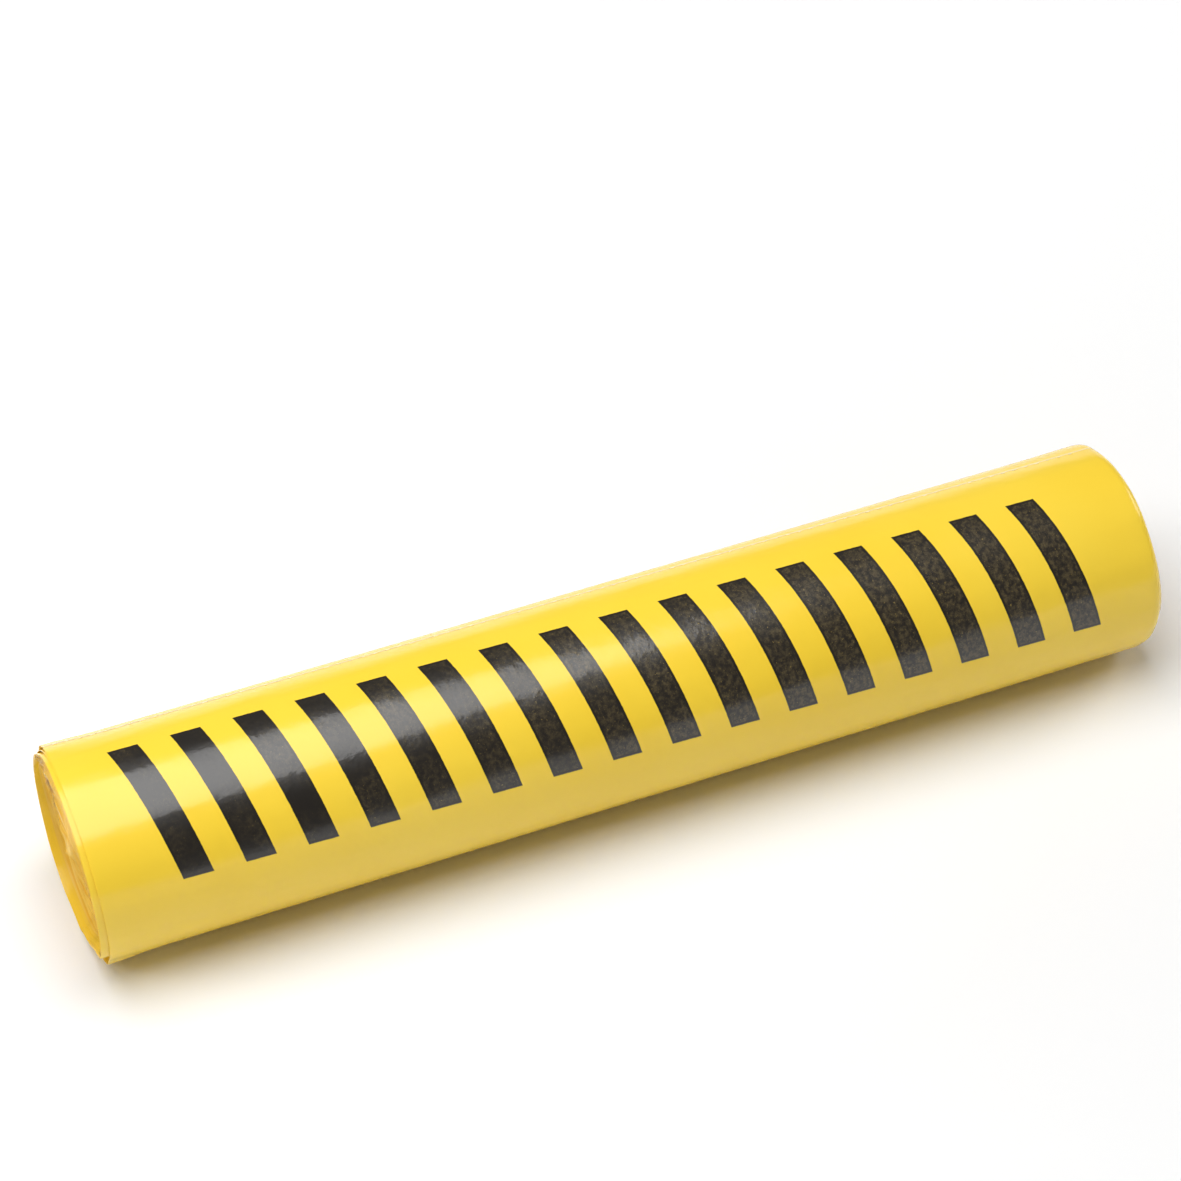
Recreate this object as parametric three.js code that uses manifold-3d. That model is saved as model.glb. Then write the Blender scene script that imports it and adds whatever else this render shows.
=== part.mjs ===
// A coreless roll of plastic waste bags. The bags are folded flat, joined end to end and wound on
// themselves. The roll lies on its side: soft, a little wider than it is high, and flat underneath.
// Its inner turns have slipped a little along the axis: one end is dished, the other stands out.
// Millimetres, +Z up, the roll's axis along X, origin in the middle of the strip that it rests on.

import * as THREE from "three";
import { mergeVertices } from "three/addons/utils/BufferGeometryUtils.js";
import Module from "manifold-3d";

// The folded web of bags.
const WEB_WIDTH = 375; // a 750 mm bag folded once along its middle
const WEB_THICKNESS = 0.28; // four layers of 0.07 mm film

// The roll as it lies.
const ROLL_WIDTH = 74;
const ROLL_HEIGHT = 67;
const REST_WIDTH = 30; // the flat strip underneath

// The eye, the flattened bore of a roll that was wound without a core.
const EYE_WIDTH = 12;
const EYE_HEIGHT = 5;

// The ends: the outer turns stay where they were and the coil inside them has slipped.
const OUTER_TURNS = 3; // how thick the turns that stayed are
const SLIP = 1.5;
const SLIP_SLOPE = 1.5; // how thick the turns in between are
const SHOULDER = 2; // the radius of the round edge that the film's fold makes

// The turns that show on the ends, each a bundle of thinner ones, parted by one spiral groove.
const SHOWN_TURNS = 8;
const FIRST_TURN = 1; // how thick the outermost of them is at the free edge
const GROOVE_WIDTH = 0.7;
const GROOVE_DEPTH = 2;

// The free edge of the outermost bag, a step along the whole roll, measured from the back.
const LAP_ANGLE = THREE.MathUtils.degToRad(62);

// How finely the round stretches are cut.
const AROUND = 64;
const STEPS_PER_TURN = 28;
const SHOULDER_STEPS = 3;

// The section is an ellipse that the floor cuts flat.
const HALF_WIDTH = ROLL_WIDTH / 2;
const FLAT_SHARE = Math.sqrt(1 - (REST_WIDTH / ROLL_WIDTH) ** 2);
const HALF_HEIGHT = ROLL_HEIGHT / (1 + FLAT_SHARE);
const AXIS_HEIGHT = HALF_HEIGHT * FLAT_SHARE;

// The thickness of the wound film from the eye to the outside, on the level.
const BUILD_UP = HALF_WIDTH - EYE_WIDTH / 2;

const wasm = await Module();
wasm.setup();

// The distance from an ellipse's centre to its outline.
function ellipseRadius(halfWidth, halfHeight, angle) {
  return 1 / Math.hypot(Math.cos(angle) / halfWidth, Math.sin(angle) / halfHeight);
}

// A point of the section: share 0 is the eye's wall and share 1 is the roll's outside. The outside
// stands `lap` inside the ellipse, and never goes below the floor.
function sectionPoint(share, angle, lap = 0) {
  const round = ellipseRadius(HALF_WIDTH, HALF_HEIGHT, angle) - lap;
  const floor = AXIS_HEIGHT / Math.max(-Math.sin(angle), 1e-6);
  const eye = ellipseRadius(EYE_WIDTH / 2, EYE_HEIGHT / 2, angle);
  const radius = THREE.MathUtils.lerp(eye, Math.min(round, floor), share);
  return new THREE.Vector2(radius * Math.cos(angle), AXIS_HEIGHT + radius * Math.sin(angle));
}

// The share that lies a depth inside the roll's outside.
function shareAt(depth) {
  return 1 - depth / BUILD_UP;
}

// A ring-shaped body: a closed profile of [share, x] pairs, carried once round the roll from the
// free edge. The outside starts one web lower than it ends, and the last column is the step.
function turnedBody(profile) {
  const closed = [...profile, profile[0]].reverse();
  const columns = AROUND + 1;
  const ring = closed.map(([share, x]) => new THREE.Vector2(1 + share, x));
  const geometry = new THREE.LatheGeometry(ring, columns);
  const position = geometry.getAttribute("position");
  for (let i = 0; i < position.count; i++) {
    const turn = (Math.floor(i / closed.length) % columns) / AROUND;
    const [share, x] = closed[i % closed.length];
    const lap = share < 1 ? 0 : WEB_THICKNESS * (1 - turn);
    const point = sectionPoint(share, LAP_ANGLE + 2 * Math.PI * turn, lap);
    position.setXYZ(i, x, point.x, point.y);
  }
  return solidFrom(geometry);
}

// The roll's profile from its outside to the eye at the dished end, and back out at the other end.
// Both ends are moved in by `inset`.
function rollProfile(inset) {
  const half = WEB_WIDTH / 2 - inset;
  const stayed = -SLIP / 2;
  const slipped = SLIP / 2;
  const slope = shareAt(OUTER_TURNS + SLIP_SLOPE);
  const shoulder = [];
  for (let i = 0; i <= SHOULDER_STEPS; i++) {
    const turn = (Math.PI / 2) * (i / SHOULDER_STEPS);
    const depth = SHOULDER * (1 - Math.sin(turn));
    shoulder.push([shareAt(depth), stayed + half - SHOULDER * (1 - Math.cos(turn))]);
  }
  return [
    [1, stayed - half],
    [shareAt(OUTER_TURNS), stayed - half],
    [slope, slipped - half],
    [0, slipped - half],
    [0, slipped + half],
    [slope, slipped + half],
    ...shoulder,
  ];
}

// The groove between the turns, as a thin spiral wall that runs the length of the roll. It starts
// under the free edge and ends in the eye.
function spiralWall() {
  const steps = SHOWN_TURNS * STEPS_PER_TURN;
  const halfGroove = GROOVE_WIDTH / 2 / BUILD_UP;
  const outer = [];
  const inner = [];
  for (let i = 0; i < steps; i++) {
    const angle = LAP_ANGLE - (2 * Math.PI * i) / STEPS_PER_TURN;
    const share = shareAt(FIRST_TURN) * (1 - i / steps);
    outer.push(sectionPoint(share + halfGroove, angle));
    inner.push(sectionPoint(share - halfGroove, angle));
  }
  const band = new THREE.Shape([...outer, ...inner.reverse()]);
  const length = WEB_WIDTH + 2 * SLIP;
  const wall = new THREE.ExtrudeGeometry(band, { depth: length, bevelEnabled: false });
  wall.translate(0, 0, -length / 2);
  const alongX = new THREE.Matrix4().makeBasis(
    new THREE.Vector3(0, 1, 0),
    new THREE.Vector3(0, 0, 1),
    new THREE.Vector3(1, 0, 0),
  );
  return solidFrom(wall.applyMatrix4(alongX));
}

// A closed geometry as a solid that can be joined and cut. Faces without an area are left out.
function solidFrom(geometry) {
  geometry.deleteAttribute("normal");
  geometry.deleteAttribute("uv");
  const merged = mergeVertices(geometry, 1e-4);
  const faces = [];
  for (let i = 0; i < merged.index.count; i += 3) {
    const face = [0, 1, 2].map((corner) => merged.index.getX(i + corner));
    if (new Set(face).size === 3) faces.push(...face);
  }
  const mesh = new wasm.Mesh({
    numProp: 3,
    vertProperties: merged.getAttribute("position").array,
    triVerts: new Uint32Array(faces),
  });
  return new wasm.Manifold(mesh);
}

function geometryFrom(solid) {
  const mesh = solid.getMesh();
  const geometry = new THREE.BufferGeometry();
  geometry.setAttribute("position", new THREE.BufferAttribute(mesh.vertProperties, 3));
  geometry.setIndex(new THREE.BufferAttribute(mesh.triVerts, 1));
  geometry.computeVertexNormals();
  return geometry;
}

// The groove is as deep in every turn: the wall is cut back to the same roll with its ends moved in.
function bagRoll() {
  const body = turnedBody(rollProfile(0));
  const grooves = spiralWall().subtract(turnedBody(rollProfile(GROOVE_DEPTH)));
  return body.subtract(grooves);
}

const film = new THREE.MeshStandardMaterial({ color: 0xf3cf2e, roughness: 0.3, metalness: 0 });
const roll = new THREE.Mesh(geometryFrom(bagRoll()), film);
roll.name = "bag_roll";

const part = new THREE.Group();
part.add(roll);

export default part;
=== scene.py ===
# %% [markdown]
# A roll of yellow waste bags, dressed from its CAD solid.
#
# The real object is one long web of plastic film. Ten bags, each folded flat, hang together at
# tear-off perforations and are wound on themselves without a core. The CAD solid is a plain oval
# block with a spiral groove on its ends. This script winds the real web in its place: every turn,
# at its real thickness, in the space that the block holds.

# %% Load the frame
from math import cos, pi, radians, sin, sqrt

import bpy
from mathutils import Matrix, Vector


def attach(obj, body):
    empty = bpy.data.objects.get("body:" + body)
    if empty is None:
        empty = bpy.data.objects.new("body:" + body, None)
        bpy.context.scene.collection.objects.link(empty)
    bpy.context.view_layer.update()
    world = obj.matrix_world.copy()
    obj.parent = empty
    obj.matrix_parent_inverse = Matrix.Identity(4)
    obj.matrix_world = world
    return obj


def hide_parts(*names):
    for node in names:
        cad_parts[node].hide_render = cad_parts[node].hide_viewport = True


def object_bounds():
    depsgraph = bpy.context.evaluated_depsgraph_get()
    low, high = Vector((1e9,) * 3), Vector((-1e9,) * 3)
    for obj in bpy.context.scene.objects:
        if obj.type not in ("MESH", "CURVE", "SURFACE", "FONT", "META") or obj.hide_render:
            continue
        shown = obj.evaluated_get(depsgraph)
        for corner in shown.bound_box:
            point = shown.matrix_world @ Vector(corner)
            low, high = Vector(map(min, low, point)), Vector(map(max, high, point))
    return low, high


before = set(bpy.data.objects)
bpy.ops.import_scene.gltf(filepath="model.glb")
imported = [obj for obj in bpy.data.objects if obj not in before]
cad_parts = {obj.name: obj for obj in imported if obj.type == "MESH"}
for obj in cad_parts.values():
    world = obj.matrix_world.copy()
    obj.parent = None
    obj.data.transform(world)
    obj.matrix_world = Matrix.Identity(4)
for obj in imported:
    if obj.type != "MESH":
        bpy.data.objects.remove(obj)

CAD_LOW, CAD_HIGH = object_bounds()
print("CAD box, mm:", [round(side * 1000, 1) for side in CAD_HIGH - CAD_LOW])

# %% [markdown]
# The sizes. All of them are in metres. The solid's box gives the roll's width and height, and the
# web's own sizes are those of a 750 by 1150 mm bag in 0.07 mm film, folded once along its middle.
# The outermost bag goes round the roll five times before the next bag begins, and the whole web
# about ninety times.

# %% Sizes
WEB_THICKNESS = 0.00028
WEB_WIDTH = 0.375
BAG_LENGTH = 1.150
BAGS = 10

ROLL_WIDTH = 0.074
ROLL_HEIGHT = CAD_HIGH.z - CAD_LOW.z + WEB_THICKNESS
REST_WIDTH = 0.030
EYE_WIDTH = 0.009
EYE_HEIGHT = 0.0030
SLIP = CAD_HIGH.x - CAD_LOW.x - WEB_WIDTH
OUTER_DEPTH = 0.003
SLIP_SLOPE = 0.0015
SHOULDER = 0.002
LAP_ANGLE = radians(60)
LAP_SKEW = radians(10)

FLAT_SHARE = sqrt(1 - (REST_WIDTH / ROLL_WIDTH) ** 2)
HALF_HEIGHT = ROLL_HEIGHT / (1 + FLAT_SHARE)
AXIS_HEIGHT = HALF_HEIGHT * FLAT_SHARE
BUILD_UP = (ROLL_WIDTH - EYE_WIDTH) / 2


def girth(width, height):
    """The length once round an oval."""
    a, b = width / 2, height / 2
    return pi * (3 * (a + b) - sqrt((3 * a + b) * (a + 3 * b)))


OUTER_GIRTH = girth(ROLL_WIDTH, 2 * HALF_HEIGHT) * 0.985
EYE_GIRTH = girth(EYE_WIDTH, EYE_HEIGHT)
WEB_LENGTH = BAGS * BAG_LENGTH
TURNS = 2 * WEB_LENGTH / (OUTER_GIRTH + EYE_GIRTH)
OUTER_BAG_TURNS = BAG_LENGTH / OUTER_GIRTH * 1.01
print("turns:", round(TURNS, 1), "pitch, mm:", round(BUILD_UP / TURNS * 1000, 3))

# %% [markdown]
# Formulas as nodes. Geometry Nodes and material nodes both work with Math nodes, which are slow to
# read when there are fifty of them. A small class lets a formula be written as Python and adds the
# nodes for it, so that the rule of a shape stays readable.

# %% Formula helper
class Field:
    """A number inside a node tree. Arithmetic on it adds Math nodes to that tree."""

    def __init__(self, tree, socket):
        self.tree, self.socket = tree, socket

    def math(self, operation, *others):
        node = self.tree.nodes.new("ShaderNodeMath")
        node.operation = operation
        for slot, value in zip(node.inputs, (self, *others)):
            feed(self.tree, value, slot)
        return Field(self.tree, node.outputs[0])

    def __add__(self, other):
        return self.math("ADD", other)

    def __sub__(self, other):
        return self.math("SUBTRACT", other)

    def __mul__(self, other):
        return self.math("MULTIPLY", other)

    def __truediv__(self, other):
        return self.math("DIVIDE", other)

    def ramp(self, low, high, smooth=True):
        """0 at low, 1 at high."""
        node = self.tree.nodes.new("ShaderNodeMapRange")
        node.interpolation_type = "SMOOTHSTEP" if smooth else "LINEAR"
        for slot, value in zip(node.inputs, (self, low, high, 0.0, 1.0)):
            feed(self.tree, value, slot)
        return Field(self.tree, node.outputs[0])


def feed(tree, value, slot):
    if isinstance(value, Field):
        tree.links.new(value.socket, slot)
    else:
        slot.default_value = value


def vector(tree, x, y, z):
    node = tree.nodes.new("ShaderNodeCombineXYZ")
    for slot, value in zip(node.inputs, (x, y, z)):
        feed(tree, value, slot)
    return node.outputs[0]


def noise(tree, place, scale=1.0, detail=1.0, roughness=0.5):
    """A smooth random number around 0, from about -0.5 to 0.5, that depends on a place."""
    node = tree.nodes.new("ShaderNodeTexNoise")
    tree.links.new(place, node.inputs["Vector"])
    node.inputs["Scale"].default_value = scale
    node.inputs["Detail"].default_value = detail
    node.inputs["Roughness"].default_value = roughness
    return Field(tree, node.outputs[0]) - 0.5


# %% [markdown]
# The rule of the roll. A point of the web is named by how many turns it lies from the free edge,
# by its place across the web, and by how far it stands off the middle of the film. This node group
# turns those three into a point in space. Each turn is an oval that the floor has pressed flat, and
# the inner turns shrink towards the collapsed eye. Wound film is never even, so the rule also holds
# the waves of the loose outer wraps, the buckled turns near the eye, and the way the turns slip
# along the axis and leave the ends uneven.
#
# The rule is long, so it is written as four short steps, each of which takes the web's own numbers
# and gives back a length: the oval, the unevenness of the winding, the shape of the two ends, and
# the slip along the axis.
#
# First the oval. The real roll was wound round and has settled under its own weight. A soft body
# pressed on the floor could do that too, but the outline is simple enough for a formula: an ellipse
# cut flat underneath, shrunk towards an eye that the winding machine's spindle has left empty and
# that has fallen in.

# %% The oval
def angle_near(angle, degrees, reach):
    """1 at an angle round the roll, falling to 0 at a reach of so many degrees from it."""
    return (angle - radians(degrees)).math("COSINE").ramp(cos(radians(reach)), 1.0)


def oval_radius(tree, level, upright, share):
    """The distance from the axis: the outline, the floor under it and the crumpled eye."""
    half_width = (level / (ROLL_WIDTH / 2)).math("POWER", 2.0)
    half_height = (upright / HALF_HEIGHT).math("POWER", 2.0)
    oval = (half_width + half_height).math("INVERSE_SQRT")
    floor = (upright * -1.0).math("MAXIMUM", 0.02).math("POWER", -1.0) * AXIS_HEIGHT
    outside = oval.math("SMOOTH_MIN", floor, 0.0012)
    eye_level = (level / (EYE_WIDTH / 2)).math("POWER", 2.0)
    eye_upright = (upright / (EYE_HEIGHT / 2)).math("POWER", 2.0)
    eye = (eye_level + eye_upright).math("INVERSE_SQRT")
    crumple = noise(tree, vector(tree, level * 2.3, upright * 2.3, 4.0), detail=2.0)
    eye = eye * (crumple * 1.5 + 1.0)
    return eye + (outside - eye) * share


# %% [markdown]
# The unevenness of the winding. The turns next to the eye have lost their hold and buckle, further
# out the turns close up into bundles, and the outermost wraps are loose and carry long waves. All
# three are smooth noise. It is read by place round the roll and hardly changes from one turn to the
# next, so that neighbours bend together and never cross.

# %% The unevenness of the winding
def winding_unevenness(tree, along, level, upright, share, depth, wave, buckle):
    # Buckled turns: stronger towards the eye, none in the outer wraps.
    core = share.ramp(0.94, 0.35)
    ring = vector(tree, level * 1.1, upright * 1.1, share * 2.2 + 3.0)
    fine_ring = vector(tree, level * 2.6, upright * 2.6, share * 5.0 + 9.0)
    bend = noise(tree, ring) + noise(tree, fine_ring) * 0.55
    uneven = bend * core * buckle * share.ramp(0.0, 0.22)

    # Bundles: the turns close up and part again in a slow rhythm.
    bundle_place = vector(tree, level * 0.6, upright * 0.6, share * 13.0)
    uneven = uneven + noise(tree, bundle_place) * 0.0013 * share.ramp(1.0, 0.9)

    # Waves of the loose outer wraps, long along the roll.
    wave_place = vector(tree, along * 9.0, level * 1.3, upright * 1.3 + 5.0)
    loose = depth.ramp(0.006, 0.0)
    off_floor = upright.ramp(-0.75, -0.5)
    return uneven + (noise(tree, wave_place, detail=2.0) - 0.18) * wave * loose * off_floor


# %% [markdown]
# The shape of the two ends. At the near end the outermost wraps were pulled tight round two blunt
# corners, and what lies inside the lower one is tucked in, which leaves a dark gap. The far end is
# the web's folded side, so its edge is round. Both are local pushes along the radius, each with an
# angle, a reach and a depth, because a photograph is matched most easily one push at a time.

# %% The shape of the two ends
def end_shape(tree, along, angle, level, upright, turn, share, depth, shoulder):
    # The near end: the outermost wraps are pulled to a blunt corner high at the back and another
    # low at the front, where the wraps inside them are tucked in.
    near = along.ramp(0.020 - WEB_WIDTH / 2, -WEB_WIDTH / 2)
    outermost = turn.ramp(2.4, 1.6)
    inside = outermost * -1.0 + 1.0
    wraps = depth.ramp(OUTER_DEPTH + 0.0010, OUTER_DEPTH - 0.0005)
    corner = angle_near(angle, 47, 22) * 0.0006 + angle_near(angle, 231, 18) * 0.0010
    tuck = angle_near(angle, 44, 14) * wraps * 0.0007 + angle_near(angle, 234, 30) * share * 0.0048
    shape = (corner * outermost - tuck * inside) * near

    # The coil inside the wraps is narrower at its dished end, so that a gap parts the two.
    close = along.ramp(0.012 - WEB_WIDTH / 2, -WEB_WIDTH / 2)
    shape = shape - depth.ramp(OUTER_DEPTH, OUTER_DEPTH + 0.0008) * close * 0.0005

    # The far end: a round shoulder, rounder low at the front, with a few soft dents.
    to_far = along * -1.0 + WEB_WIDTH / 2
    low_front = angle_near(angle, 215, 80)
    bend_radius = (low_front * 0.7 + 1.1) * shoulder * wraps + 0.0009
    left = (bend_radius - to_far).math("MAXIMUM", 0.0)
    drop = bend_radius - (bend_radius * bend_radius - left * left).math("SQRT")
    dent = noise(tree, vector(tree, level * 2.4, upright * 2.4, 7.0)) * to_far.ramp(0.03, 0.0)
    return shape - drop * 0.75 + dent * depth.ramp(0.004, 0.0) * 0.0012


# %% [markdown]
# The slip along the axis. Handling has pushed the coil along inside its outer wraps, so one end is
# dished and the other stands out, and the few outermost wraps lag behind and show as steps. The
# edges of the turns never line up exactly: noise that changes from turn to turn gives the fine
# ragged rings, and slower noise gives the broad ones.

# %% The slip along the axis
FACING = radians(136)  # the side that the camera looks at


def place_along(
    tree, along, angle, level, upright, turn, share, depth, slip, stagger, skew, uneven
):
    # The wraps stay and the coil slips, further at the bottom than at the top. The outermost
    # wraps lag behind those just inside them.
    slipped = depth.ramp(OUTER_DEPTH - 0.0012, OUTER_DEPTH + SLIP_SLOPE)
    slipped = (slipped * (upright * -0.75 + 1.0) - 0.5) * slip
    near = along.ramp(WEB_WIDTH / 2, -WEB_WIDTH / 2, False)
    lag = turn.ramp(2.6, 1.7) * (upright * -0.35 + 1.0) * stagger * (near * 0.7 + 0.3)

    # The web was wound a little askew, which shows at the near end.
    askew = (angle - FACING).math("COSINE") * share * skew * near

    # Every turn ends a little off its neighbours.
    turn_place = vector(tree, turn * 0.31, level * 0.5, upright * 0.5)
    slow_place = vector(tree, share * 6.0 + 20.0, level * 0.9, upright * 0.9)
    ragged = noise(tree, turn_place) * 0.55 + noise(tree, slow_place)
    settle = depth.ramp(0.0004, 0.003)
    return along + slipped + lag - askew + ragged * uneven * settle


# %% [markdown]
# The rule itself puts the four steps together in one node group with named sizes, so that the film
# and the torn edge follow the same surface.

# %% The rule of the roll
EDGE_DROOP = 0.0009  # the coil slips this much more than the solid, whose edges are sharp
CLING = 0.85  # how far the free edge closes its gap to the wrap under it


def add_socket(tree, name, direction="INPUT", kind="NodeSocketFloat", value=None):
    socket = tree.interface.new_socket(name, in_out=direction, socket_type=kind)
    if value is not None:
        socket.default_value = value
    return socket


def roll_rule():
    tree = bpy.data.node_groups.new("Roll Rule", "GeometryNodeTree")
    for name in ("Turn", "Across", "Lift"):
        add_socket(tree, name)
    sizes = {
        "Slip": SLIP + EDGE_DROOP,
        "Stagger": 0.0025,
        "Skew": 0.0013,
        "Shoulder": SHOULDER,
        "Wave Height": 0.00035,
        "Buckle": 0.0034,
        "Uneven Ends": 0.0030,
    }
    for name, value in sizes.items():
        add_socket(tree, name, value=value)
    add_socket(tree, "Position", "OUTPUT", "NodeSocketVector")
    entry = tree.nodes.new("NodeGroupInput")
    turn, across, lift, slip, stagger, skew, shoulder, wave, buckle, uneven = (
        Field(tree, entry.outputs[i]) for i in range(10)
    )
    share = (turn * (-1 / TURNS) + 1.0).math("MAXIMUM", 0.0)
    depth = (share * -1.0 + 1.0) * BUILD_UP
    angle = turn * (-2 * pi) + LAP_ANGLE
    angle = angle - (across * -1.0 + 1.0) * turn.ramp(0.5, 0.0) * LAP_SKEW
    level = angle.math("COSINE")
    upright = angle.math("SINE")
    along = (across - 0.5) * WEB_WIDTH

    radius = oval_radius(tree, level, upright, share)
    radius = radius + winding_unevenness(
        tree, along, level, upright, share, depth, wave, buckle
    )
    radius = radius + end_shape(
        tree, along, angle, level, upright, turn, share, depth, shoulder
    )
    x = place_along(
        tree, along, angle, level, upright, turn, share, depth, slip, stagger, skew, uneven
    )

    # The free edge clings to the wrap under it.
    gap = (BUILD_UP / TURNS - WEB_THICKNESS / 2) * CLING
    radius = radius - turn.ramp(0.028, 0.0, False) * gap
    radius = radius + lift
    place = vector(tree, x, radius * level, radius * upright + AXIS_HEIGHT)
    tree.links.new(place, tree.nodes.new("NodeGroupOutput").inputs[0])
    return tree


ROLL_RULE = roll_rule()
print("the rule has", len(ROLL_RULE.nodes), "nodes")

# %% [markdown]
# The web. It is a thin closed strip: an outer face, a blunt edge, an inner face and another edge.
# A grid is the simplest start, because its two directions are the way along the winding and the
# way round the strip's section. The columns across are packed towards the two edges, where the
# film bends and where it shows, and are far apart in the middle of the roll. The grid closes on
# itself by merging its last row with its first, and it thins to nothing at its two short ends.

# %% The web as a node tree
def web_tree():
    tree = bpy.data.node_groups.new("Wound Web", "GeometryNodeTree")
    add_socket(tree, "Geometry", "OUTPUT", "NodeSocketGeometry")
    add_socket(tree, "First Turn")
    add_socket(tree, "Last Turn")
    add_socket(tree, "Steps", kind="NodeSocketInt")
    add_socket(tree, "Cells Across", kind="NodeSocketInt")
    add_socket(tree, "Thickness", value=WEB_THICKNESS)
    add_socket(tree, "Film", kind="NodeSocketMaterial")
    entry = tree.nodes.new("NodeGroupInput")
    first, last, steps, cells, thickness = (Field(tree, entry.outputs[i]) for i in range(5))

    grid = tree.nodes.new("GeometryNodeMeshGrid")
    rows = cells * 2.0 + 3.0
    tree.links.new((steps + 1.0).socket, grid.inputs["Vertices X"])
    tree.links.new(rows.socket, grid.inputs["Vertices Y"])
    index = Field(tree, tree.nodes.new("GeometryNodeInputIndex").outputs[0])
    step = (index / rows + 0.0001).math("FLOOR")
    row = index - step * rows

    # Round the section: the outer face goes one way across, the inner face comes back.
    lap = row.math("MODULO", cells * 2.0 + 2.0)
    inner = lap.math("GREATER_THAN", cells + 0.5)
    place = (lap + inner * (cells * 2.0 + 1.0 - lap * 2.0)) / cells
    packed = (place * pi).math("COSINE") * -0.5 + 0.5
    across = (packed * pi).math("COSINE") * -0.5 + 0.5

    # The film is blunt at its long edges and thins to nothing at its two short ends.
    from_edge = (across.math("MINIMUM", across * -1.0 + 1.0)) * WEB_WIDTH
    body = from_edge.ramp(-0.0002, 0.0004)
    ends = step.math("MINIMUM", steps - step).ramp(0.0, 4.0, False)
    lift = (inner * -2.0 + 1.0) * thickness * 0.5 * body * ends
    turn = first + (last - first) * (step / steps)

    rule = tree.nodes.new("GeometryNodeGroup")
    rule.node_tree = ROLL_RULE
    for slot, value in zip(rule.inputs, (turn, across, lift)):
        tree.links.new(value.socket, slot)
    moved = tree.nodes.new("GeometryNodeSetPosition")
    tree.links.new(grid.outputs["Mesh"], moved.inputs["Geometry"])
    tree.links.new(rule.outputs[0], moved.inputs["Position"])

    # The place on the flat web, in metres, for the print and the weld.
    unrolled = turn * OUTER_GIRTH - turn * turn * ((OUTER_GIRTH - EYE_GIRTH) / 2 / TURNS)
    flat_place = vector(tree, unrolled, across * WEB_WIDTH, inner)
    stored = tree.nodes.new("GeometryNodeStoreNamedAttribute")
    stored.data_type = "FLOAT_VECTOR"
    stored.domain = "POINT"
    stored.inputs["Name"].default_value = "web"
    tree.links.new(moved.outputs["Geometry"], stored.inputs["Geometry"])
    tree.links.new(flat_place, stored.inputs["Value"])

    merged = tree.nodes.new("GeometryNodeMergeByDistance")
    merged.inputs["Distance"].default_value = 0.000002
    tree.links.new(stored.outputs["Geometry"], merged.inputs["Geometry"])
    finish_tree(tree, merged.outputs["Geometry"], entry.outputs["Film"])
    return tree


def finish_tree(tree, geometry, material):
    """Realize Instances and Set Material, the two nodes that every tree here ends in."""
    real = tree.nodes.new("GeometryNodeRealizeInstances")
    painted = tree.nodes.new("GeometryNodeSetMaterial")
    tree.links.new(geometry, real.inputs[0])
    tree.links.new(real.outputs[0], painted.inputs["Geometry"])
    tree.links.new(material, painted.inputs["Material"])
    tree.links.new(painted.outputs[0], tree.nodes.new("NodeGroupOutput").inputs[0])


def grow(name, tree, **inputs):
    """Runs a tree once and keeps its result as a plain mesh with its faces outwards."""
    seed = bpy.data.objects.new(name + "_seed", bpy.data.meshes.new(name + "_seed"))
    bpy.context.scene.collection.objects.link(seed)
    modifier = seed.modifiers.new("grow", "NODES")
    modifier.node_group = tree
    for item in tree.interface.items_tree:
        if item.in_out == "INPUT" and item.name.replace(" ", "_").lower() in inputs:
            modifier[item.identifier] = inputs[item.name.replace(" ", "_").lower()]
    bpy.context.view_layer.update()
    evaluated = seed.evaluated_get(bpy.context.evaluated_depsgraph_get())
    mesh = bpy.data.meshes.new_from_object(evaluated)
    seed.modifiers.remove(modifier)
    bpy.data.objects.remove(seed)
    mesh.name = name
    if signed_volume(mesh) < 0:
        mesh.flip_normals()
    mesh.shade_smooth()
    mesh.set_sharp_from_angle(angle=radians(50))
    piece = bpy.data.objects.new(name, mesh)
    bpy.context.scene.collection.objects.link(piece)
    print(name, "has", sum(len(p.vertices) - 2 for p in mesh.polygons), "triangles")
    return piece


def signed_volume(mesh):
    mesh.calc_loop_triangles()
    corners = [v.co for v in mesh.vertices]
    return sum(
        corners[a].dot(corners[b].cross(corners[c]))
        for a, b, c in (t.vertices for t in mesh.loop_triangles)
    ) / 6


# %% [markdown]
# The film. Polyethylene film is glossy, and a softbox shows in it with a clear edge that the small
# wrinkles break up. The colour is a strong yellow. The print on such a bag is a band of plain
# black bars, laid on in an ink that dries darker along its edges and mottled inside. All of it is
# worked out from the place on the flat web, so that the print follows the film round the roll.

# %% Print
PRINT_START = 0.0225
PRINT_BARS = 16
PRINT_PITCH = 0.0209
PRINT_BAR = 0.0102
PRINT_HEIGHT = 0.050
PRINT_LEAN = 0.20
PRINT_FAR_FROM_EDGE = 0.176
PRINT_SKEW = 0.0100 / WEB_WIDTH


def print_mask(tree, unrolled, across, inset):
    """1 on the printed bars, 0 beside them. A positive inset shrinks each bar."""
    centre = across * -PRINT_SKEW + (PRINT_FAR_FROM_EDGE + PRINT_SKEW * WEB_WIDTH)
    up = unrolled - centre
    place = across - PRINT_START + up * PRINT_LEAN
    bar = (place / PRINT_PITCH).math("FLOOR")
    from_middle = (place - bar * PRINT_PITCH - PRINT_BAR / 2).math("ABSOLUTE")
    soft = 0.00012
    in_bar = from_middle.ramp(PRINT_BAR / 2 - inset + soft, PRINT_BAR / 2 - inset - soft, False)
    edge = PRINT_HEIGHT / 2 - inset
    in_band = up.math("ABSOLUTE").ramp(edge + soft, edge - soft, False)
    in_row = bar.math("GREATER_THAN", -0.5) * bar.math("LESS_THAN", PRINT_BARS - 0.5)
    return in_bar * in_band * in_row


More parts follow.
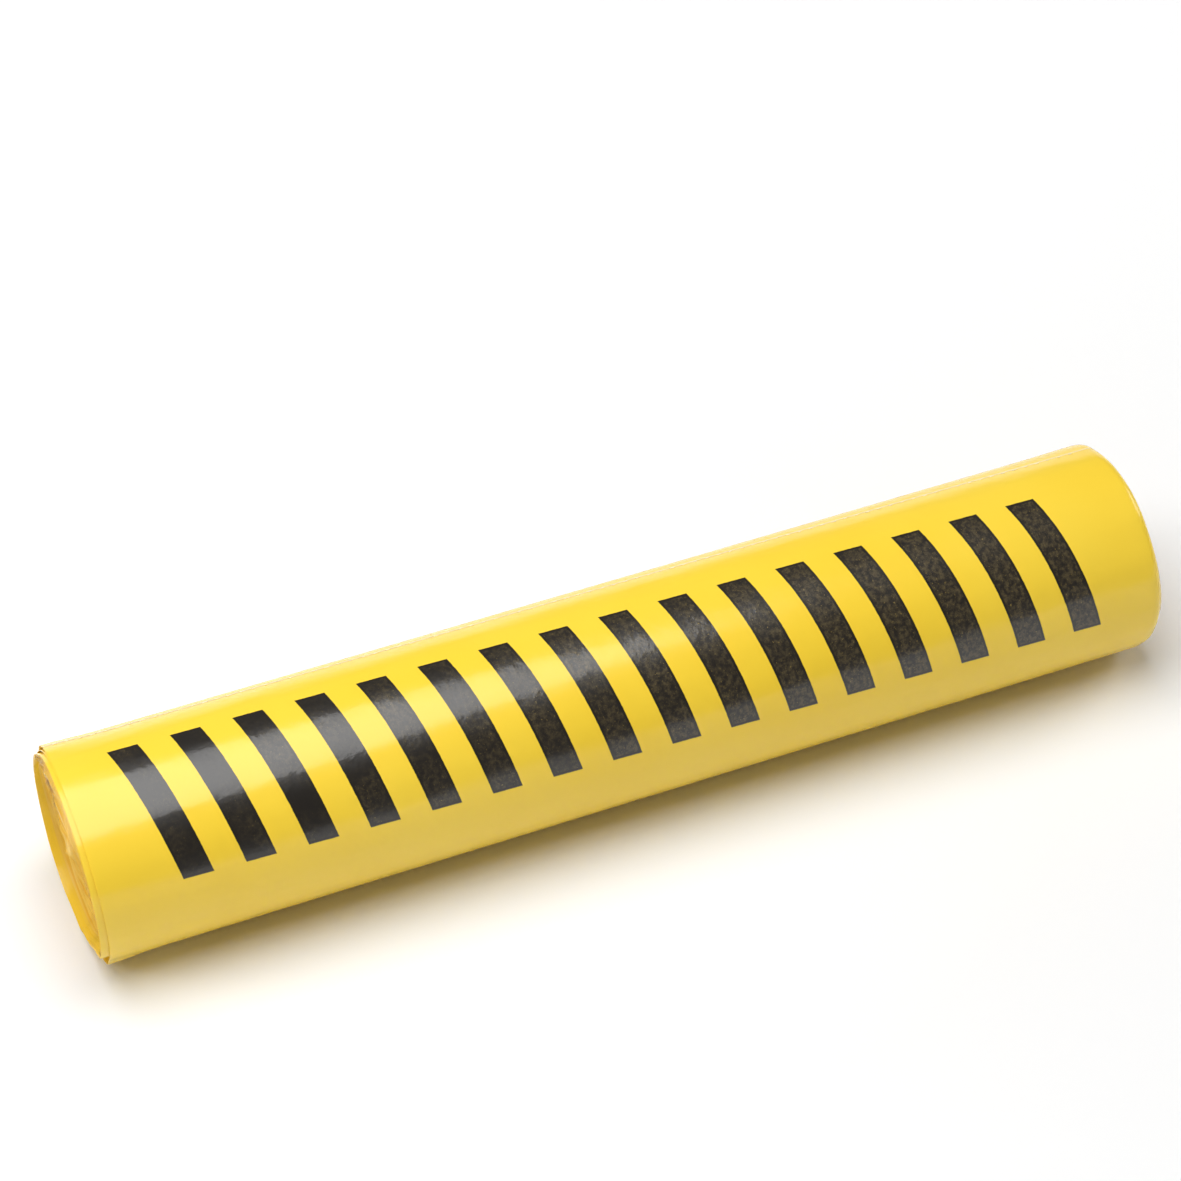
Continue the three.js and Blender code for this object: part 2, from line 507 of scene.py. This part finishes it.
def mix_colour(tree, share, first, second):
    """first where share is 0, second where it is 1."""
    node = tree.nodes.new("ShaderNodeMix")
    node.data_type = "RGBA"
    feed(tree, share, node.inputs[0])
    for slot, colour in ((node.inputs[6], first), (node.inputs[7], second)):
        if isinstance(colour, bpy.types.NodeSocket):
            tree.links.new(colour, slot)
        else:
            slot.default_value = (*colour, 1.0)
    return node.outputs[2]


# %% [markdown]
# The film's finish. The colour, the gloss and the bump all read the place on the flat web that
# the web's tree has stored, and the colour carries painted light on the wound ends and the free
# edge. The bags are welded shut 15 mm from the perforations, and the weld is a shallow line
# pressed into the film.

# %% The film
WELD_FROM_EDGE = 0.015
WELD_WIDTH = 0.0018
WELD_DEPTH = 0.00010
INK_COAT = 0.55


def film_material():
    material = bpy.data.materials.new("yellow_film")
    material.use_nodes = True
    tree = material.node_tree
    shader = tree.nodes["Principled BSDF"]
    web = tree.nodes.new("ShaderNodeAttribute")
    web.attribute_name = "web"
    parts = tree.nodes.new("ShaderNodeSeparateXYZ")
    tree.links.new(web.outputs["Vector"], parts.inputs[0])
    unrolled, across, inner = (Field(tree, parts.outputs[i]) for i in range(3))
    flat = vector(tree, unrolled, across, 0.0)

    # The yellow: a slow unevenness of the pigment. On the ends, light has gone through many
    # layers of film, and the colour is painted light there: the folded edges of the inner turns get
    # painted ochre shade, with paler painted highlights along the creases, paler still towards the
    # eye. The torn edge gets a pale painted highlight as well.
    cloud = noise(tree, flat, scale=14.0, detail=2.0).ramp(-0.25, 0.25)
    yellow = mix_colour(tree, cloud, (0.93, 0.635, 0.042), (0.95, 0.668, 0.056))
    from_edge = across.math("MINIMUM", across * -1.0 + WEB_WIDTH)
    at_end = from_edge.ramp(0.0045, 0.0008) * unrolled.ramp(1.9, 2.2)
    end_shade_and_highlight = noise(tree, vector(tree, unrolled * 16.0, across * 40.0, 2.0), detail=3.0)
    end_shade_and_highlight = end_shade_and_highlight + unrolled.ramp(9.6, 11.3) * 0.12
    # Painted light on the ends: ochre painted shade, pale painted highlights along the folds.
    edge = mix_colour(tree, end_shade_and_highlight.ramp(-0.16, 0.08), (0.86, 0.510, 0.050), (0.95, 0.680, 0.130))
    edge = mix_colour(tree, end_shade_and_highlight.ramp(0.11, 0.22), edge, (0.97, 0.820, 0.480))
    yellow = mix_colour(tree, at_end, yellow, edge)
    # Painted highlight: the free edge and its nibs are pale where the raised edge catches light.
    yellow = mix_colour(tree, unrolled.ramp(0.0016, 0.0), yellow, (0.97, 0.800, 0.380))

    # The ink: near black with a crisp darker rim, and finely mottled where the film shows through.
    wobble = noise(tree, flat, scale=500.0, detail=2.0) * 0.00022
    printed = print_mask(tree, unrolled + wobble, across + wobble, 0.0)
    printed = printed * (inner * -1.0 + 1.0)
    core = print_mask(tree, unrolled + wobble, across + wobble, 0.0009)
    thin = (noise(tree, flat, scale=60.0, detail=2.0) + across * 2.4).ramp(-0.05, 0.65)
    mottle = noise(tree, flat, scale=520.0, detail=4.0, roughness=0.75)
    fleck = noise(tree, flat, scale=1200.0, detail=3.0, roughness=0.7).ramp(0.09, 0.24)
    mottled = mottle.ramp(-0.10, 0.16) * thin
    body = mix_colour(tree, mottled, (0.013, 0.010, 0.007), (0.085, 0.064, 0.030))
    body = mix_colour(tree, fleck * thin, body, (0.30, 0.215, 0.060))
    ink = mix_colour(tree, core, (0.012, 0.009, 0.006), body)
    colour = mix_colour(tree, printed, yellow, ink)
    tree.links.new(colour, shader.inputs["Base Color"])

    # The gloss: the film is smooth, the ink lies on it as a shinier skin.
    patch = noise(tree, flat, scale=40.0, detail=3.0)
    gloss = patch * 0.08 + 0.19 + printed * 0.10
    tree.links.new(gloss.socket, shader.inputs["Roughness"])
    tree.links.new((printed * INK_COAT).socket, shader.inputs["Coat Weight"])
    shader.inputs["IOR"].default_value = 1.5
    shader.inputs["Coat IOR"].default_value = 1.5
    shader.inputs["Coat Roughness"].default_value = 0.07

    # Bump: long slack waves along the roll and a fine orange peel, and wrinkles in the ink.
    stretched = vector(tree, unrolled * 55.0, across * 14.0, 0.0)
    waves = noise(tree, stretched, detail=2.0)
    peel = noise(tree, flat, scale=380.0, detail=2.0)
    dimple = noise(tree, flat, scale=130.0, detail=2.0)
    crackle = noise(tree, flat, scale=620.0, detail=3.0, roughness=0.6)
    from_weld = (unrolled - WELD_FROM_EDGE).math("ABSOLUTE")
    weld = from_weld.ramp(WELD_WIDTH / 2 + 0.0002, WELD_WIDTH / 2 - 0.0002)
    height = weld * -WELD_DEPTH + waves * 0.00060 + dimple * 0.00010
    height = height + peel * 0.000010 + crackle * printed * 0.00005
    bump = tree.nodes.new("ShaderNodeBump")
    bump.inputs["Strength"].default_value = 1.0
    bump.inputs["Distance"].default_value = 1.0
    tree.links.new(height.socket, bump.inputs["Height"])
    tree.links.new(bump.outputs[0], shader.inputs["Normal"])
    tree.links.new(bump.outputs[0], shader.inputs["Coat Normal"])
    return material


FILM = film_material()
print("the film has", len(FILM.node_tree.nodes), "nodes")

# %% [markdown]
# The winding. One tree makes both pieces: the outermost bag, which shows most of its skin and so
# has the finer mesh, and the nine bags inside it, which show only their edges.

# %% Wind the bags
WEB_TREE = web_tree()
outer_bag = grow(
    "outer_bag",
    WEB_TREE,
    first_turn=0.0,
    last_turn=OUTER_BAG_TURNS,
    steps=int(OUTER_BAG_TURNS * 144),
    cells_across=44,
    film=FILM,
)
inner_bags = grow(
    "inner_bags",
    WEB_TREE,
    first_turn=OUTER_BAG_TURNS,
    last_turn=TURNS - 0.5,
    steps=int((TURNS - OUTER_BAG_TURNS) * 56),
    cells_across=9,
    film=FILM,
)
for piece in (outer_bag, inner_bags):
    area = sum(face.area for face in piece.data.polygons) / 2
    print(piece.name, "is a web of", round(area / WEB_WIDTH, 3), "m")

# %% [markdown]
# The torn edge. The outermost bag was torn from the bag before it along a row of small cuts, so its
# free edge carries a row of short nibs, where the film held until it tore. They repeat along a
# line, so a small tree sets one flat nib on every point of a line that follows the rule of the
# roll, tilts each of them to the lap's angle, and stretches each a little at random.

# %% The torn edge
NIB_PITCH = 0.0042
NIB_WIDTH = 0.0013
NIB_LENGTH = 0.0009
NIB_THICKNESS = 0.00012
NIB_ROW_INSET = 0.004  # from the web's edge to the first nib
NIB_OVERHANG = 0.0012  # how far the nibs lie beyond the free edge, in turns
NIB_SMALLEST = (0.6, 0.5, 1.0)
NIB_LARGEST = (1.3, 1.4, 1.0)
NIB_SEED = 4


def torn_edge_tree():
    tree = bpy.data.node_groups.new("Torn Edge", "GeometryNodeTree")
    add_socket(tree, "Geometry", "OUTPUT", "NodeSocketGeometry")
    for name, value in (("Pitch", NIB_PITCH), ("Width", NIB_WIDTH), ("Length", NIB_LENGTH)):
        add_socket(tree, name, value=value)
    add_socket(tree, "Film", kind="NodeSocketMaterial")
    entry = tree.nodes.new("NodeGroupInput")
    pitch, width, length = (Field(tree, entry.outputs[i]) for i in range(3))
    count = (pitch.math("POWER", -1.0) * (WEB_WIDTH - 0.006)).math("FLOOR")

    line = tree.nodes.new("GeometryNodeMeshLine")
    tree.links.new(count.socket, line.inputs["Count"])
    index = Field(tree, tree.nodes.new("GeometryNodeInputIndex").outputs[0])
    across = (index * pitch + NIB_ROW_INSET) / WEB_WIDTH
    rule = tree.nodes.new("GeometryNodeGroup")
    rule.node_tree = ROLL_RULE
    for slot, value in zip(rule.inputs, (-NIB_OVERHANG, across, 0.0)):
        feed(tree, value, slot)
    placed = tree.nodes.new("GeometryNodeSetPosition")
    tree.links.new(line.outputs[0], placed.inputs["Geometry"])
    tree.links.new(rule.outputs[0], placed.inputs["Position"])

    nib = tree.nodes.new("GeometryNodeMeshCube")
    tree.links.new(vector(tree, width, length, NIB_THICKNESS), nib.inputs["Size"])
    spread = tree.nodes.new("GeometryNodeInstanceOnPoints")
    tree.links.new(placed.outputs[0], spread.inputs["Points"])
    tree.links.new(nib.outputs["Mesh"], spread.inputs["Instance"])
    tilt = (across * -1.0 + 1.0) * -LAP_SKEW + (LAP_ANGLE - pi / 2)
    tree.links.new(vector(tree, tilt, 0.0, 0.0), spread.inputs["Rotation"])
    stretch = tree.nodes.new("FunctionNodeRandomValue")
    stretch.data_type = "FLOAT_VECTOR"
    stretch.inputs["Min"].default_value = NIB_SMALLEST
    stretch.inputs["Max"].default_value = NIB_LARGEST
    stretch.inputs["Seed"].default_value = NIB_SEED
    tree.links.new(stretch.outputs[0], spread.inputs["Scale"])
    finish_tree(tree, spread.outputs["Instances"], entry.outputs["Film"])
    return tree


torn_edge = grow("torn_edge", torn_edge_tree(), film=FILM)

# %% [markdown]
# Handing over. All three pieces dress the one solid and ride on its body. The web is a sheet that
# is wound up.

# %% Hand the pieces to the frame
for piece in (outer_bag, inner_bags, torn_edge):
    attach(piece, "root")
    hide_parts("bag_roll")

# %% [markdown]
# The camera. The photograph looks down at about 44 degrees, from a little beyond the near end,
# through a long lens. The values come from fitting the roll's outline to the photograph.

# %% Camera
CAMERA_AZIMUTH = radians(-22.735)
CAMERA_ELEVATION = radians(44.175)
CAMERA_DISTANCE = 1.4898
CAMERA_SHIFT = (-0.0065, 0.0330)
LOOK_AT = Vector((0, 0, 0.034))
SENSOR = 36.0
FOCAL_PIXELS = 4500
IMAGE_PIXELS = 1181


def add_camera():
    back = Vector(
        (
            sin(CAMERA_AZIMUTH) * cos(CAMERA_ELEVATION),
            -cos(CAMERA_AZIMUTH) * cos(CAMERA_ELEVATION),
            sin(CAMERA_ELEVATION),
        )
    )
    right = Vector((cos(CAMERA_AZIMUTH), sin(CAMERA_AZIMUTH), 0))
    up = back.cross(right)
    data = bpy.data.cameras.new("camera")
    data.sensor_width = SENSOR
    data.lens = FOCAL_PIXELS / IMAGE_PIXELS * SENSOR
    camera = bpy.data.objects.new("camera", data)
    camera.location = (
        LOOK_AT + back * CAMERA_DISTANCE + right * CAMERA_SHIFT[0] + up * CAMERA_SHIFT[1]
    )
    camera.rotation_mode = "QUATERNION"
    camera.rotation_quaternion = (-back).to_track_quat("-Z", "Y")
    bpy.context.scene.collection.objects.link(camera)
    bpy.context.scene.camera = camera
    print("camera at", [round(v, 3) for v in camera.location], "lens", round(data.lens, 1))


add_camera()

# %% [markdown]
# The sweep. A small product studio has a pale floor that runs on without a horizon. Here it is one
# large plane that glows a little away from the roll, so that it stays pale from every side while
# the roll's own shadow stays on it.

# %% The sweep
FLOOR_SIZE = 24.0


def add_floor():
    half = FLOOR_SIZE / 2
    mesh = bpy.data.meshes.new("floor")
    corners = [(-half, -half, 0), (half, -half, 0), (half, half, 0), (-half, half, 0)]
    mesh.from_pydata(corners, [], [(0, 1, 2, 3)])
    floor = bpy.data.objects.new("floor", mesh)
    material = bpy.data.materials.new("pale_floor")
    material.use_nodes = True
    tree = material.node_tree
    shader = tree.nodes["Principled BSDF"]
    shader.inputs["Base Color"].default_value = (0.92, 0.92, 0.92, 1)
    shader.inputs["Roughness"].default_value = 0.9
    shader.inputs["Specular IOR Level"].default_value = 0.0
    shader.inputs["Emission Color"].default_value = (1, 1, 1, 1)
    place = tree.nodes.new("ShaderNodeTexCoord")
    length = tree.nodes.new("ShaderNodeVectorMath")
    length.operation = "LENGTH"
    tree.links.new(place.outputs["Object"], length.inputs[0])
    far = Field(tree, length.outputs["Value"]).ramp(0.15, 1.5, False) * 0.82
    tree.links.new(far.socket, shader.inputs["Emission Strength"])
    mesh.materials.append(material)
    bpy.context.scene.collection.objects.link(floor)


# %% [markdown]
# The light. An oval softbox hangs over the near half of the roll. It is much brighter than the
# room, because that alone gives the ink its grey, sharp-edged highlight while the rest of it stays
# nearly black. Two small lamps beyond the ends light the wound edges, which the softbox misses.

# %% The room and the softbox
def add_room(overhead, horizon):
    """A plain room, dim overhead and as pale as the sweep where it meets it."""
    world = bpy.data.worlds.new("studio")
    world.use_nodes = True
    tree = world.node_tree
    place = tree.nodes.new("ShaderNodeTexCoord")
    parts = tree.nodes.new("ShaderNodeSeparateXYZ")
    tree.links.new(place.outputs["Generated"], parts.inputs[0])
    low = Field(tree, parts.outputs["Z"]).ramp(0.16, 0.02)
    strength = low * (horizon - overhead) + overhead
    sky = tree.nodes["Background"]
    sky.inputs["Color"].default_value = (1, 1, 1, 1)
    tree.links.new(strength.socket, sky.inputs["Strength"])
    bpy.context.scene.world = world


def add_softbox(name, place, aim, width, height, watts):
    data = bpy.data.lights.new(name, "AREA")
    data.shape = "ELLIPSE"
    data.size, data.size_y = width, height
    data.energy = watts
    light = bpy.data.objects.new(name, data)
    light.location = place
    aim_way = (Vector(aim) - Vector(place)).to_track_quat("-Z", "Y")
    light.rotation_euler = aim_way.to_euler()
    bpy.context.scene.collection.objects.link(light)


add_floor()
add_room(0.12, 0.92)
add_softbox("top_box", (-0.25, 0.055, 1.0), (-0.25, 0.055, 0), 1.12, 1.14, 12.1)
for side in (-1, 1):
    add_softbox("end_box", (side * 1.3, 0.15, 0.75), (side * 0.18, 0, 0.03), 0.7, 0.5, 3.6)
bpy.context.scene.view_settings.view_transform = "Standard"
